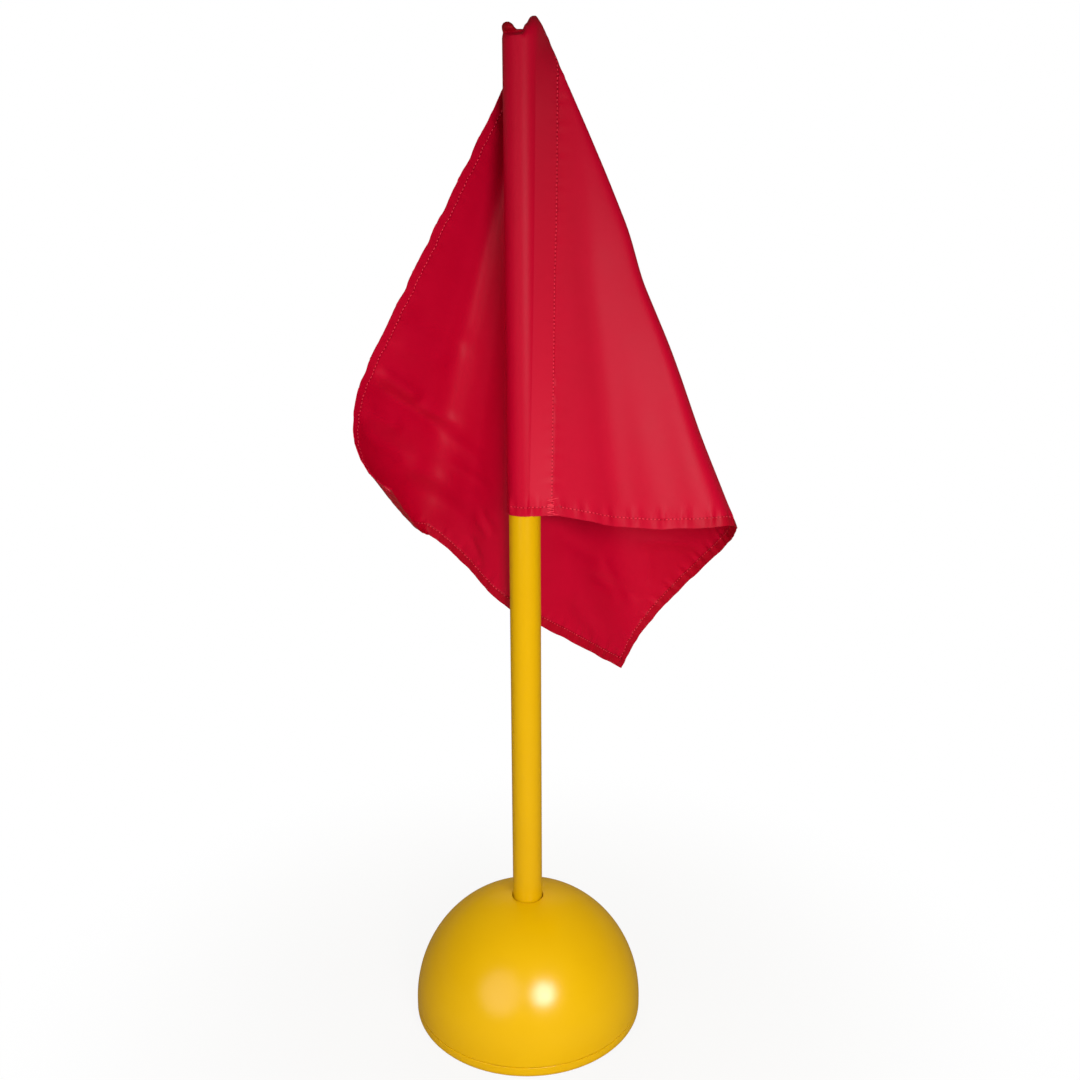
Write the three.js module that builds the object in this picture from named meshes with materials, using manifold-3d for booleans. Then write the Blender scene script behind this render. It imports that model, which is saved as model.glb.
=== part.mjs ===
// A corner flag for a football pitch: a weighted dome, a plastic pole and a nylon flag.
// All sizes are in millimetres, +Z is up, and the origin is on the pole's axis at floor level.
// Seen from the front, -Y faces the viewer and the flag flies to the right, along +X.
import * as THREE from 'three';
import { mergeVertices } from 'three/addons/utils/BufferGeometryUtils.js';
import Module from 'manifold-3d';

const wasm = await Module();
wasm.setup();

// Base: the weighted dome
const BASE_DIAMETER = 242;
const DOME_RISE = 121;
const BAND_HEIGHT = 13.2;
const RIM_LIFT = 0.8;
const RIM_ROUND = 6;
const SHELL_WALL = 4;
const PLATE_FLOOR = 3;
const PAD_THICKNESS = 2.5;
const PAD_GROOVE_DEPTH = 0.8;
const PAD_GROOVE_WIDTH = 4;
const RIM_WIDTH = 8.7;
const SPIGOT_HEIGHT = 5.5;
const SPIGOT_WALL = 3;
const COLLAR_DEPTH = 18;
const COLLAR_LIP = 8;
const COLLAR_WALL = 4;
const HOLE_CLEARANCE = 0.9;

// Socket and ballast inside the dome
const SOCKET_CLEARANCE = 0.5;
const SOCKET_WALL = 2.5;
const SOCKET_FLOOR = 3;
const SOCKET_FLANGE = 15;
const BALLAST_HEIGHT = 62;
const BALLAST_SHOULDER = 39;
const BALLAST_TOP_STEP = 22;

// Screws that hold the plate to the dome
const SCREW_COUNT = 6;
const SCREW_SHANK_DIAMETER = 4;
const SCREW_HEAD_DIAMETER = 8;
const SCREW_HEAD_HEIGHT = 2.4;
const SCREW_LENGTH = 22;
const SCREW_TIP = 3;
const SCREW_SLOT_WIDTH = 1.2;
const SCREW_SLOT_DEPTH = 1.2;
const BOSS_WALL = 4.2;
const BOSS_INSET = 1;
const BOSS_SEAT = 5;

// Pole
const POLE_DIAMETER = 31;
const POLE_WALL = 2.2;
const POLE_LENGTH = 971.5;
const PLUG_FLANGE = 2;
const PLUG_DEPTH = 20;
const PLUG_WALL = 2;
const CAP_EDGE = 2;
const CAP_CROWN = 3.5;

// Flag
const FLAG_HOIST = 456;
const FLAG_FLY = 465;
const CLOTH = 0.8;
const SLEEVE_CLEARANCE = 0.8;
const SLEEVE_TAIL = 17;
const SEAM_GAP = 0.5;
const CLOTH_PASS = 4.5;
const PEAK_RISE = 18.5;
const TOP_SEAM_HEIGHT = 5;
const EAR_RISE = 5.4;
const CREASE_RISE = 1;
const HEM_PUCKER = 4;
const HEM_SAG = 5;
const HEM_SAG_SPAN = 200;
const PANEL_TIP = 12;

// Fits
const GAP = 0.3;
const OVERRUN = 2;

// The plan of the drape at the hoist's foot, as shares of the hoist from the flag's top corner:
// the front sheet goes right to the rolled fold, turns back, passes behind the pole and then
// comes forward again on the left as far as the top hem.
const DRAPE_PLAN_SHARES = [
  [-0.011, -0.068], [0.121, -0.092], [0.274, -0.123], [0.371, -0.121], [0.406, -0.093],
  [0.408, -0.040], [0.376, 0.050], [0.276, 0.130], [0.168, 0.140], [0.050, 0.044],
  [-0.060, -0.004], [-0.160, 0.066], [-0.241, 0.100], [-0.318, 0.060], [-0.417, -0.015],
  [-0.520, -0.096],
];
const FOLD_SLOPE_SHARE = 0.445;
const FOLD_FULLNESS_SHARES = [0.07, 0.035];
const FOLD_BREAK_SHARES = [[0.38, 0.52], [0.6, 0.85]];
const CURL_TOP_SHARE = 0.325;
const CURL_FLY_SHARE = 0.35;
const CURL_SLANT = THREE.MathUtils.degToRad(22);
// The heights along the sleeve's sewn top, from its left ear to its right peak
const EAR_END_SHARE = 0.42;
const PEAK_START_SHARE = 0.55;

// How finely the round and the draped surfaces are divided
const ROUND_STEPS = 56;
const TUBE_STEPS = 36;
const SCREW_STEPS = 12;
const DOME_STEPS = 12;
const ROUND_CORNER_STEPS = 4;
const DRAPE_STEPS = 480;
const PANEL_COLUMNS = 30;
const PANEL_ROWS = 18;
const SLEEVE_SIDES = 28;
const SLEEVE_ROWS = 12;
const SLEEVE_TOP_ROWS = 4;
const TAIL_CROWDING = 1.5;

// Sizes that follow from the ones above
const baseRadius = BASE_DIAMETER / 2;
const poleRadius = POLE_DIAMETER / 2;
const partingZ = RIM_LIFT + BAND_HEIGHT;
const plateFloorZ = PAD_THICKNESS + PLATE_FLOOR;
const holeRadius = poleRadius + HOLE_CLEARANCE;
const socketBore = poleRadius + SOCKET_CLEARANCE;
const socketRadius = socketBore + SOCKET_WALL;
const socketFloorZ = plateFloorZ + SOCKET_FLOOR;
const innerRadius = baseRadius - SHELL_WALL;
const innerRise = DOME_RISE - SHELL_WALL;
const domeHeightAt = (radius, base, rise) => partingZ + rise * Math.sqrt(1 - (radius / base) ** 2);
const holeTopZ = domeHeightAt(holeRadius, baseRadius, DOME_RISE);
const collarFootZ = holeTopZ - COLLAR_DEPTH;
const collarStepZ = holeTopZ - COLLAR_LIP;
const collarBore = socketRadius + GAP;
const collarRadius = collarBore + COLLAR_WALL;
const screwRadius = SCREW_SHANK_DIAMETER / 2;
const bossRadius = screwRadius + GAP + BOSS_WALL;
const spigotRadius = innerRadius - SHELL_WALL / 4;
const screwCircle = spigotRadius - SPIGOT_WALL - BOSS_INSET - bossRadius;
const padRadius = baseRadius - RIM_WIDTH - GAP;
const ballastRadius = screwCircle - bossRadius - BOSS_SEAT;
const flangeRadius = socketRadius + SOCKET_FLANGE;
const poleFootZ = socketFloorZ + PLUG_FLANGE;
const poleTopZ = poleFootZ + POLE_LENGTH;
const poleBore = poleRadius - POLE_WALL;
const capTopZ = poleTopZ + CAP_EDGE + CAP_CROWN;
const sleeveBore = poleRadius + SLEEVE_CLEARANCE;
const creaseZ = poleTopZ + CAP_EDGE + CREASE_RISE;
const seamZ = capTopZ + TOP_SEAM_HEIGHT;
const flagCorner = new THREE.Vector3(poleRadius, sleeveBore + CLOTH + CLOTH_PASS, capTopZ + PEAK_RISE);

const yellowPlastic = new THREE.MeshStandardMaterial({ color: 0xf0b800, roughness: 0.42, metalness: 0 });
const greyPlastic = new THREE.MeshStandardMaterial({ color: 0x3a3c40, roughness: 0.55, metalness: 0 });
const blackRubber = new THREE.MeshStandardMaterial({ color: 0x1c1c1e, roughness: 0.85, metalness: 0 });
const concrete = new THREE.MeshStandardMaterial({ color: 0x8d8a84, roughness: 0.95, metalness: 0 });
const zincSteel = new THREE.MeshStandardMaterial({ color: 0xb9bcc0, roughness: 0.35, metalness: 1 });
const redNylon = new THREE.MeshStandardMaterial({ color: 0xc00020, roughness: 0.5, metalness: 0 });

// A closed outline of [radius, height] corners, turned about the Z axis.
function turned(outline, steps) {
  const closed = [...outline, outline[0]].map(([radius, height]) => new THREE.Vector2(radius, height));
  return new THREE.LatheGeometry(closed, steps).rotateX(Math.PI / 2);
}

// The same for a solid that reaches the axis, whose outline starts and ends on it.
function turnedSolid(outline, steps) {
  const points = outline.map(([radius, height]) => new THREE.Vector2(radius, height));
  return new THREE.LatheGeometry(points, steps).rotateX(Math.PI / 2);
}

function toSolid(geometry) {
  const bare = geometry.clone();
  bare.deleteAttribute('normal');
  bare.deleteAttribute('uv');
  const merged = mergeVertices(bare);
  return new wasm.Manifold(new wasm.Mesh({
    numProp: 3,
    vertProperties: new Float32Array(merged.attributes.position.array),
    triVerts: new Uint32Array(merged.index.array),
  }));
}

function toGeometry(solid) {
  const mesh = solid.getMesh();
  const geometry = new THREE.BufferGeometry();
  geometry.setAttribute('position', new THREE.BufferAttribute(mesh.vertProperties, 3));
  geometry.setIndex(new THREE.BufferAttribute(mesh.triVerts, 1));
  geometry.computeVertexNormals();
  return geometry;
}

function upright(radius, lowZ, highZ, steps) {
  const rod = new THREE.CylinderGeometry(radius, radius, highZ - lowZ, steps).rotateX(Math.PI / 2);
  return rod.translate(0, 0, (lowZ + highZ) / 2);
}

// One copy of a solid at each screw, all round the base.
function atScrews(geometry) {
  const copies = [];
  for (let i = 0; i < SCREW_COUNT; i += 1) {
    const angle = (i + 1 / 2) * 2 * Math.PI / SCREW_COUNT;
    copies.push(toSolid(geometry.clone().translate(screwCircle, 0, 0).rotateZ(angle)));
  }
  return copies;
}

const part = new THREE.Group();
function add(name, geometry, material) {
  const mesh = new THREE.Mesh(geometry, material);
  mesh.name = name;
  part.add(mesh);
  return mesh;
}

// Heights on an elliptical dome from its foot to where it meets a given radius.
function domeArc(base, rise, topRadius) {
  const lastTurn = Math.acos(topRadius / base);
  const arc = [];
  for (let i = 0; i <= DOME_STEPS; i += 1) {
    const turn = lastTurn * i / DOME_STEPS;
    arc.push([base * Math.cos(turn), partingZ + rise * Math.sin(turn)]);
  }
  return arc;
}

// The dome shell: one moulding with a collar for the socket and a boss for each screw.
function domeShell() {
  const outer = domeArc(baseRadius, DOME_RISE, holeRadius);
  const inner = domeArc(innerRadius, innerRise, collarRadius).reverse();
  const collar = [
    [holeRadius, collarStepZ], [collarBore, collarStepZ],
    [collarBore, collarFootZ], [collarRadius, collarFootZ],
  ];
  let shell = toSolid(turned([...outer, ...collar, ...inner], ROUND_STEPS));
  const within = toSolid(turnedSolid(
    [[0, partingZ], ...domeArc(baseRadius - SHELL_WALL / 2, DOME_RISE - SHELL_WALL / 2, 0)], ROUND_STEPS));
  const bosses = atScrews(upright(bossRadius, partingZ, partingZ + DOME_RISE, SCREW_STEPS));
  for (const boss of bosses) shell = shell.add(boss.intersect(within));
  const pilots = atScrews(upright(
    screwRadius + GAP, partingZ - OVERRUN, partingZ + SCREW_LENGTH, SCREW_STEPS));
  for (const pilot of pilots) shell = shell.subtract(pilot);
  return toGeometry(shell);
}

// The base plate: a shallow tray whose rim is the band under the parting line.
function basePlate() {
  const rimInner = baseRadius - RIM_WIDTH;
  const spigotInner = spigotRadius - SPIGOT_WALL;
  const spigotTopZ = partingZ + SPIGOT_HEIGHT;
  const rimRound = [];
  for (let i = 0; i <= ROUND_CORNER_STEPS; i += 1) {
    const turn = Math.PI / 2 * i / ROUND_CORNER_STEPS;
    rimRound.push([
      baseRadius - RIM_ROUND * (1 - Math.sin(turn)), RIM_LIFT + RIM_ROUND * (1 - Math.cos(turn))]);
  }
  let plate = toSolid(turnedSolid([
    [0, PAD_THICKNESS], [rimInner, PAD_THICKNESS], [rimInner, RIM_LIFT], ...rimRound,
    [baseRadius, partingZ], [spigotRadius, partingZ], [spigotRadius, spigotTopZ],
    [spigotInner, spigotTopZ], [spigotInner, plateFloorZ], [0, plateFloorZ],
  ], ROUND_STEPS));
  const seats = atScrews(upright(bossRadius, PAD_THICKNESS, partingZ, SCREW_STEPS));
  for (const seat of seats) plate = plate.add(seat);
  const holes = atScrews(upright(
    screwRadius + GAP, PAD_THICKNESS - OVERRUN, partingZ + OVERRUN, SCREW_STEPS));
  for (const hole of holes) plate = plate.subtract(hole);
  const recesses = atScrews(upright(
    SCREW_HEAD_DIAMETER / 2 + GAP, PAD_THICKNESS - OVERRUN, plateFloorZ, SCREW_STEPS));
  for (const recess of recesses) plate = plate.subtract(recess);
  return toGeometry(plate);
}

// The pad: a rubber disc let into the plate's underside, with two ring grooves for grip.
function gripPad() {
  const ringGroove = (radius) => [
    [radius, 0], [radius, PAD_GROOVE_DEPTH],
    [radius + PAD_GROOVE_WIDTH, PAD_GROOVE_DEPTH], [radius + PAD_GROOVE_WIDTH, 0],
  ];
  return turnedSolid([
    [0, 0], ...ringGroove(padRadius / 3), ...ringGroove(padRadius * 2 / 3),
    [padRadius, 0], [padRadius, PAD_THICKNESS], [0, PAD_THICKNESS],
  ], ROUND_STEPS);
}

// The ballast: a cast concrete ring that sits round the socket and holds its flange down.
function ballast() {
  const bore = socketRadius + GAP;
  const recessRadius = flangeRadius + GAP;
  const recessZ = socketFloorZ + GAP;
  return turned([
    [recessRadius, plateFloorZ], [ballastRadius, plateFloorZ],
    [ballastRadius, plateFloorZ + BALLAST_SHOULDER],
    [ballastRadius - BALLAST_TOP_STEP, plateFloorZ + BALLAST_HEIGHT],
    [bore, plateFloorZ + BALLAST_HEIGHT], [bore, recessZ], [recessRadius, recessZ],
  ], ROUND_STEPS);
}

// The socket: a moulded tube with a closed, flanged foot, between the plate and the collar.
function poleSocket() {
  const topZ = collarStepZ - GAP;
  return turnedSolid([
    [0, plateFloorZ], [flangeRadius, plateFloorZ], [flangeRadius, socketFloorZ],
    [socketRadius, socketFloorZ], [socketRadius, topZ], [socketBore, topZ],
    [socketBore, socketFloorZ], [0, socketFloorZ],
  ], TUBE_STEPS);
}

// A pan-head screw, driven up from below, with a cross cut in its head.
function baseScrew() {
  const headZ = plateFloorZ - SCREW_HEAD_HEIGHT;
  const tipZ = plateFloorZ + SCREW_LENGTH;
  const body = toSolid(turnedSolid([
    [0, headZ], [SCREW_HEAD_DIAMETER / 2 - SCREW_HEAD_HEIGHT / 3, headZ],
    [SCREW_HEAD_DIAMETER / 2, headZ + SCREW_HEAD_HEIGHT / 3], [SCREW_HEAD_DIAMETER / 2, plateFloorZ],
    [screwRadius, plateFloorZ], [screwRadius, tipZ - SCREW_TIP], [0, tipZ],
  ], SCREW_STEPS));
  const slotLength = SCREW_HEAD_DIAMETER * 2 / 3;
  const slot = new THREE.BoxGeometry(slotLength, SCREW_SLOT_WIDTH, 2 * SCREW_SLOT_DEPTH);
  slot.translate(0, 0, headZ);
  const cross = toSolid(slot).add(toSolid(slot.clone().rotateZ(Math.PI / 2)));
  return toGeometry(body.subtract(cross));
}

function poleTube() {
  return turned([
    [poleBore, poleFootZ], [poleRadius, poleFootZ], [poleRadius, poleTopZ], [poleBore, poleTopZ],
  ], TUBE_STEPS);
}

// The foot plug closes the pole's lower end and stands on the socket's floor.
function poleFootPlug() {
  const stem = poleBore - GAP;
  return turnedSolid([
    [0, socketFloorZ], [poleRadius - GAP, socketFloorZ], [poleRadius - GAP, poleFootZ],
    [stem, poleFootZ], [stem, poleFootZ + PLUG_DEPTH], [stem - PLUG_WALL, poleFootZ + PLUG_DEPTH],
    [stem - PLUG_WALL, poleFootZ], [0, poleFootZ],
  ], TUBE_STEPS);
}

// The top cap has a rounded crown, which carries the flag's closed sleeve.
function poleTopCap() {
  const stem = poleBore - GAP;
  const crown = [];
  for (let i = 0; i <= DOME_STEPS / 2; i += 1) {
    const turn = Math.PI / 2 * i / (DOME_STEPS / 2);
    crown.push([poleRadius * Math.cos(turn), poleTopZ + CAP_EDGE + CAP_CROWN * Math.sin(turn)]);
  }
  crown[crown.length - 1][0] = 0;
  return turnedSolid([
    [0, poleTopZ], [stem - PLUG_WALL, poleTopZ], [stem - PLUG_WALL, poleTopZ - PLUG_DEPTH],
    [stem, poleTopZ - PLUG_DEPTH], [stem, poleTopZ], [poleRadius, poleTopZ], ...crown,
  ], TUBE_STEPS);
}

// The drape is a cone of straight lines from the flag's top corner down through its plan.
// Each line keeps its place in the flat cloth, so the hung cloth has its true size.
const drape = (() => {
  const plan = new THREE.CatmullRomCurve3(DRAPE_PLAN_SHARES.map(
    ([across, back]) => new THREE.Vector3(across, back, -1).multiplyScalar(FLAG_HOIST)), false, 'catmullrom');
  const lines = [];
  const turns = [];
  let turn = 0;
  for (let i = 0; i <= DRAPE_STEPS; i += 1) {
    const line = plan.getPoint(i / DRAPE_STEPS).normalize();
    if (i > 0) turn += line.angleTo(lines[i - 1]);
    lines.push(line);
    turns.push(turn);
  }
  return { lines, turns };
})();

// The direction of the line that lies at this angle from the hoist in the flat cloth.
function drapeLine(turn) {
  const { lines, turns } = drape;
  let i = turns.findIndex((t) => t >= turn);
  if (i < 1) i = turn > 0 ? turns.length - 1 : 1;
  const share = (turn - turns[i - 1]) / (turns[i] - turns[i - 1]);
  return lines[i - 1].clone().lerp(lines[i], share).normalize();
}

// How far the fold stands out past its straight line: most near the top, none at the hem.
function foldFullness(share) {
  return FOLD_FULLNESS_SHARES.reduce((sum, fullness, i) => (
    sum + fullness * (1 - THREE.MathUtils.smoothstep(share, ...FOLD_BREAK_SHARES[i]))), 0);
}

// How far the hem hangs below its place: it is drawn up at the sleeve and sags beyond it.
function hemDrop(out) {
  const { clamp, smoothstep } = THREE.MathUtils;
  const pucker = HEM_PUCKER * (1 - smoothstep(out, SLEEVE_TAIL, 4 * SLEEVE_TAIL));
  const across = clamp((out - SLEEVE_TAIL) / HEM_SAG_SPAN, 0, 1);
  return HEM_SAG * Math.sin(Math.PI * across) ** 2 - pucker;
}

// Where a point of the flat cloth hangs, before its corner curls: out from the hoist, and down.
function onDrape(out, down) {
  const line = drapeLine(Math.atan2(out, down));
  const point = line.multiplyScalar(Math.hypot(out, down));
  const share = Math.min(1, -point.z / FLAG_HOIST);
  if (point.x > 0) point.x *= 1 + foldFullness(share);
  point.z -= hemDrop(out) * (down / FLAG_HOIST) ** 2;
  return point.add(flagCorner);
}

// The free top corner rolls forward as part of a cone. Its tip is on the fly edge, and the
// roll starts at a line from there to the top hem.
const flyEdge = SLEEVE_TAIL + FLAG_FLY;
const curl = (() => {
  const flatTip = new THREE.Vector2(flyEdge, FLAG_HOIST * CURL_FLY_SHARE);
  const flatEnd = new THREE.Vector2(flyEdge - FLAG_FLY * CURL_TOP_SHARE, 0);
  const flatLine = flatEnd.clone().sub(flatTip).normalize();
  const flatAcross = new THREE.Vector2(-flatLine.y, flatLine.x);
  const tip = onDrape(flatTip.x, flatTip.y);
  const line = onDrape(flatEnd.x, flatEnd.y).sub(tip).normalize();
  const middle = flatTip.clone().add(flatEnd).multiplyScalar(1 / 2);
  const beside = middle.clone().add(flatAcross);
  const across = onDrape(beside.x, beside.y).sub(onDrape(middle.x, middle.y));
  const forward = line.clone().cross(across).normalize();
  const axis = line.clone().multiplyScalar(Math.cos(CURL_SLANT));
  axis.addScaledVector(forward, Math.sin(CURL_SLANT));
  return { flatTip, flatLine, flatAcross, tip, axis };
})();

function onFlag(out, down) {
  const reach = new THREE.Vector2(out, down).sub(curl.flatTip);
  const beyond = reach.dot(curl.flatAcross);
  if (beyond <= 0) return onDrape(out, down);
  const turn = Math.atan2(beyond, reach.dot(curl.flatLine));
  const start = curl.flatLine.clone().multiplyScalar(reach.length()).add(curl.flatTip);
  const arm = onDrape(start.x, start.y).sub(curl.tip);
  return arm.applyAxisAngle(curl.axis, turn / Math.sin(CURL_SLANT)).add(curl.tip);
}

// A point on one side of the cloth, this far from its middle.
function clothSide(out, down, offset) {
  const acrossCloth = onFlag(out + CLOTH, down).sub(onFlag(out - CLOTH, down));
  const upCloth = onFlag(out, down - CLOTH).sub(onFlag(out, down + CLOTH));
  const normal = acrossCloth.cross(upCloth).normalize();
  return onFlag(out, down).addScaledVector(normal, offset);
}

// A closed solid from two sheets of points, the second lying inside or behind the first.
function joinSheets(front, back, wraps) {
  const rows = front.length;
  const columns = front[0].length;
  const positions = [...front.flat(), ...back.flat()].flatMap((p) => [p.x, p.y, p.z]);
  const faces = [];
  const at = (sheet, row, column) => (sheet * rows + row) * columns + column % columns;
  const quad = (a, b, c, d) => faces.push(a, b, c, a, c, d);
  const lastColumn = wraps ? columns : columns - 1;
  for (let row = 0; row < rows - 1; row += 1) {
    for (let column = 0; column < lastColumn; column += 1) {
      quad(at(0, row, column), at(0, row + 1, column), at(0, row + 1, column + 1), at(0, row, column + 1));
      quad(at(1, row, column), at(1, row, column + 1), at(1, row + 1, column + 1), at(1, row + 1, column));
    }
    if (!wraps) {
      const end = columns - 1;
      quad(at(0, row, 0), at(1, row, 0), at(1, row + 1, 0), at(0, row + 1, 0));
      quad(at(0, row, end), at(0, row + 1, end), at(1, row + 1, end), at(1, row, end));
    }
  }
  const foot = rows - 1;
  for (let column = 0; column < lastColumn; column += 1) {
    quad(at(0, foot, column), at(1, foot, column), at(1, foot, column + 1), at(0, foot, column + 1));
    if (!wraps) quad(at(0, 0, column), at(0, 0, column + 1), at(1, 0, column + 1), at(1, 0, column));
  }
  const geometry = new THREE.BufferGeometry();
  geometry.setAttribute('position', new THREE.Float32BufferAttribute(positions, 3));
  geometry.setIndex(faces);
  return withoutSlivers(mergeVertices(geometry));
}

// Where a sheet narrows to a point, some of its triangles have two corners alike and go.
function withoutSlivers(geometry) {
  const corners = Array.from(geometry.index.array);
  const kept = [];
  for (let i = 0; i < corners.length; i += 3) {
    const [a, b, c] = corners.slice(i, i + 3);
    if (a !== b && b !== c && c !== a) kept.push(a, b, c);
  }
  geometry.setIndex(kept);
  return geometry;
}

// The flag itself, from the sleeve's seam to the fly, with half its cloth either side.
// Its columns follow the drape's straight lines, so a fold never crosses a triangle.
function flagPanel() {
  const seamTurn = Math.atan2(SLEEVE_TAIL, FLAG_HOIST);
  const cornerTurn = Math.atan2(flyEdge, FLAG_HOIST);
  const columnTurns = [];
  for (let column = 0; column < PANEL_COLUMNS; column += 1) {
    const turn = drape.turns[Math.round(DRAPE_STEPS * column / PANEL_COLUMNS)];
    columnTurns.push(Math.max(seamTurn, turn));
  }
  columnTurns.push(Math.PI / 2);
  const nearest = columnTurns.findIndex((turn) => turn > cornerTurn);
  columnTurns[nearest] = cornerTurn;

  const foldTurn = Math.atan(FOLD_SLOPE_SHARE);
  const sides = [1, -1].map((side) => {
    const rows = [];
    for (let row = 0; row <= PANEL_ROWS; row += 1) {
      rows.push(columnTurns.map((turn) => {
        const behind = THREE.MathUtils.smoothstep(turn, foldTurn, foldTurn * 3 / 2);
        const seamDepth = THREE.MathUtils.lerp(SLEEVE_TAIL / Math.sin(turn), PANEL_TIP, behind);
        const edgeDepth = Math.min(flyEdge / Math.sin(turn), FLAG_HOIST / Math.cos(turn));
        const depth = THREE.MathUtils.lerp(seamDepth, edgeDepth, row / PANEL_ROWS);
        return clothSide(depth * Math.sin(turn), depth * Math.cos(turn), side * CLOTH / 2);
      }));
    }
    return rows;
  });
  return joinSheets(sides[0], sides[1], false);
}

// A loop of cloth round the pole that runs out to the seam, as a radius at each angle from it.
function loopRadius(angle, bore, reach) {
  const touch = Math.acos(Math.min(1, bore / reach));
  return angle < touch ? bore / Math.cos(touch - angle) : bore;
}

// One surface of the sleeve: up the pole from the hem, then over its end to the sewn top.
function sleeveSheet(bore, seamInset, topZ) {
  const sides = Array.from({ length: SLEEVE_SIDES }, (_, i) => i / SLEEVE_SIDES);
  const crowded = (share) => (2 * share) ** TAIL_CROWDING;
  const loopAt = (z) => {
    const down = flagCorner.z - z;
    const seam = onDrape(Math.min(SLEEVE_TAIL - seamInset, down * FOLD_SLOPE_SHARE), down);
    const heading = Math.atan2(seam.y, seam.x);
    const reach = Math.max(Math.hypot(seam.x, seam.y), bore);
    return sides.map((share) => {
      const angle = share <= 1 / 2
        ? (Math.PI - heading) * crowded(share)
        : -(Math.PI + heading) * crowded(1 - share);
      const radius = loopRadius(Math.abs(angle), bore, reach);
      return new THREE.Vector3(
        radius * Math.cos(heading + angle), radius * Math.sin(heading + angle), z);
    });
  };
  const rows = [];
  const footZ = flagCorner.z - FLAG_HOIST + HEM_PUCKER;
  for (let row = 0; row <= SLEEVE_ROWS; row += 1) {
    rows.push(loopAt(footZ + (creaseZ - footZ) * row / SLEEVE_ROWS));
  }
  const leftEnd = new THREE.Vector3(-bore, 0, topZ);
  const rightEnd = flagCorner.clone().setZ(topZ);
  for (let row = 1; row <= SLEEVE_TOP_ROWS; row += 1) {
    const turn = Math.PI / 2 * row / SLEEVE_TOP_ROWS;
    rows.push(rows[SLEEVE_ROWS].map((point, i) => {
      const share = (1 + Math.cos(2 * Math.PI * sides[i])) / 2;
      const ear = EAR_RISE * Math.max(0, 1 - (share / EAR_END_SHARE) ** 4);
      const peakShare = Math.max(0, (share - PEAK_START_SHARE) / (1 - PEAK_START_SHARE));
      const ridge = leftEnd.clone().lerp(rightEnd, share);
      ridge.z += ear + (flagCorner.z - seamZ) * peakShare;
      const inward = 1 - Math.cos(turn);
      return new THREE.Vector3(
        THREE.MathUtils.lerp(point.x, ridge.x, inward),
        THREE.MathUtils.lerp(point.y, ridge.y, inward),
        THREE.MathUtils.lerp(point.z, ridge.z, Math.sin(turn)));
    }));
  }
  return rows;
}

// The sleeve: a closed loop of cloth sewn shut across its top, open at its lower hem.
function flagSleeve() {
  const outer = sleeveSheet(sleeveBore + CLOTH, SEAM_GAP, seamZ);
  const inner = sleeveSheet(sleeveBore, SEAM_GAP + 2 * CLOTH, capTopZ + GAP);
  return joinSheets(outer.reverse(), inner.reverse(), true);
}

add('dome_shell', domeShell(), yellowPlastic);
add('base_plate', basePlate(), yellowPlastic);
add('grip_pad', gripPad(), blackRubber);
add('ballast', ballast(), concrete);
add('pole_socket', poleSocket(), greyPlastic);
for (let i = 0; i < SCREW_COUNT; i += 1) {
  const angle = (i + 1 / 2) * 2 * Math.PI / SCREW_COUNT;
  const screw = add(`base_screw_${i + 1}`, baseScrew(), zincSteel);
  screw.position.set(screwCircle * Math.cos(angle), screwCircle * Math.sin(angle), 0);
}
add('pole_tube', poleTube(), yellowPlastic);
add('pole_foot_plug', poleFootPlug(), greyPlastic);
add('pole_top_cap', poleTopCap(), greyPlastic);
add('flag_sleeve', flagSleeve(), redNylon);
add('flag_panel', flagPanel(), redNylon);

export default part;
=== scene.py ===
import math

import bpy
import numpy as np
from mathutils import Matrix, Vector


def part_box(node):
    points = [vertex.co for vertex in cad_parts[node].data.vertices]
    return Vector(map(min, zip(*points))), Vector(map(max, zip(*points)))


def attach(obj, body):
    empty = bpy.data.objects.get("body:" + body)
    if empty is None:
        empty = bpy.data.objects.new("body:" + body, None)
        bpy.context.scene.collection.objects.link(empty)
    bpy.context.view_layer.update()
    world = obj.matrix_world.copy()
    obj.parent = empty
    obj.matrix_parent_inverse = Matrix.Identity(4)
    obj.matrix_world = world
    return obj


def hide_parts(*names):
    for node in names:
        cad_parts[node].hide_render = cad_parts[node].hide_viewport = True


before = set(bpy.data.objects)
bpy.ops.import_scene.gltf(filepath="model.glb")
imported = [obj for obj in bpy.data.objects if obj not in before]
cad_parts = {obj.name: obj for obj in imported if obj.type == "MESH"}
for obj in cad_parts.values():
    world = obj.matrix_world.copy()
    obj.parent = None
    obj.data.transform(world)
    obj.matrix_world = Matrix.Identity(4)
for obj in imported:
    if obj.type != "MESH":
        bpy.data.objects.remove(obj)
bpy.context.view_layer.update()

# The camera stands just over a metre in front of the flag, level with its middle, and looks
# down at it by fifteen degrees. The photograph is square, and its focal length is in pixels.
PHOTO_SIDE = 1080
FOCAL_PIXELS = 1150
SENSOR_MM = 36
CAMERA_PLACE = (0.0148, -1.092, 0.8226)
CAMERA_DOWN = math.radians(15.13)
CAMERA_ROLL = math.radians(-0.23)

camera_data = bpy.data.cameras.new("camera")
camera_data.sensor_width = SENSOR_MM
camera_data.lens = SENSOR_MM * FOCAL_PIXELS / PHOTO_SIDE
camera = bpy.data.objects.new("camera", camera_data)
camera.matrix_world = (Matrix.Translation(CAMERA_PLACE)
                       @ Matrix.Rotation(math.pi / 2 - CAMERA_DOWN, 4, "X")
                       @ Matrix.Rotation(CAMERA_ROLL, 4, "Z"))
bpy.context.collection.objects.link(camera)
scene = bpy.context.scene
scene.camera = camera
scene.view_settings.view_transform = "Standard"


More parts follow.
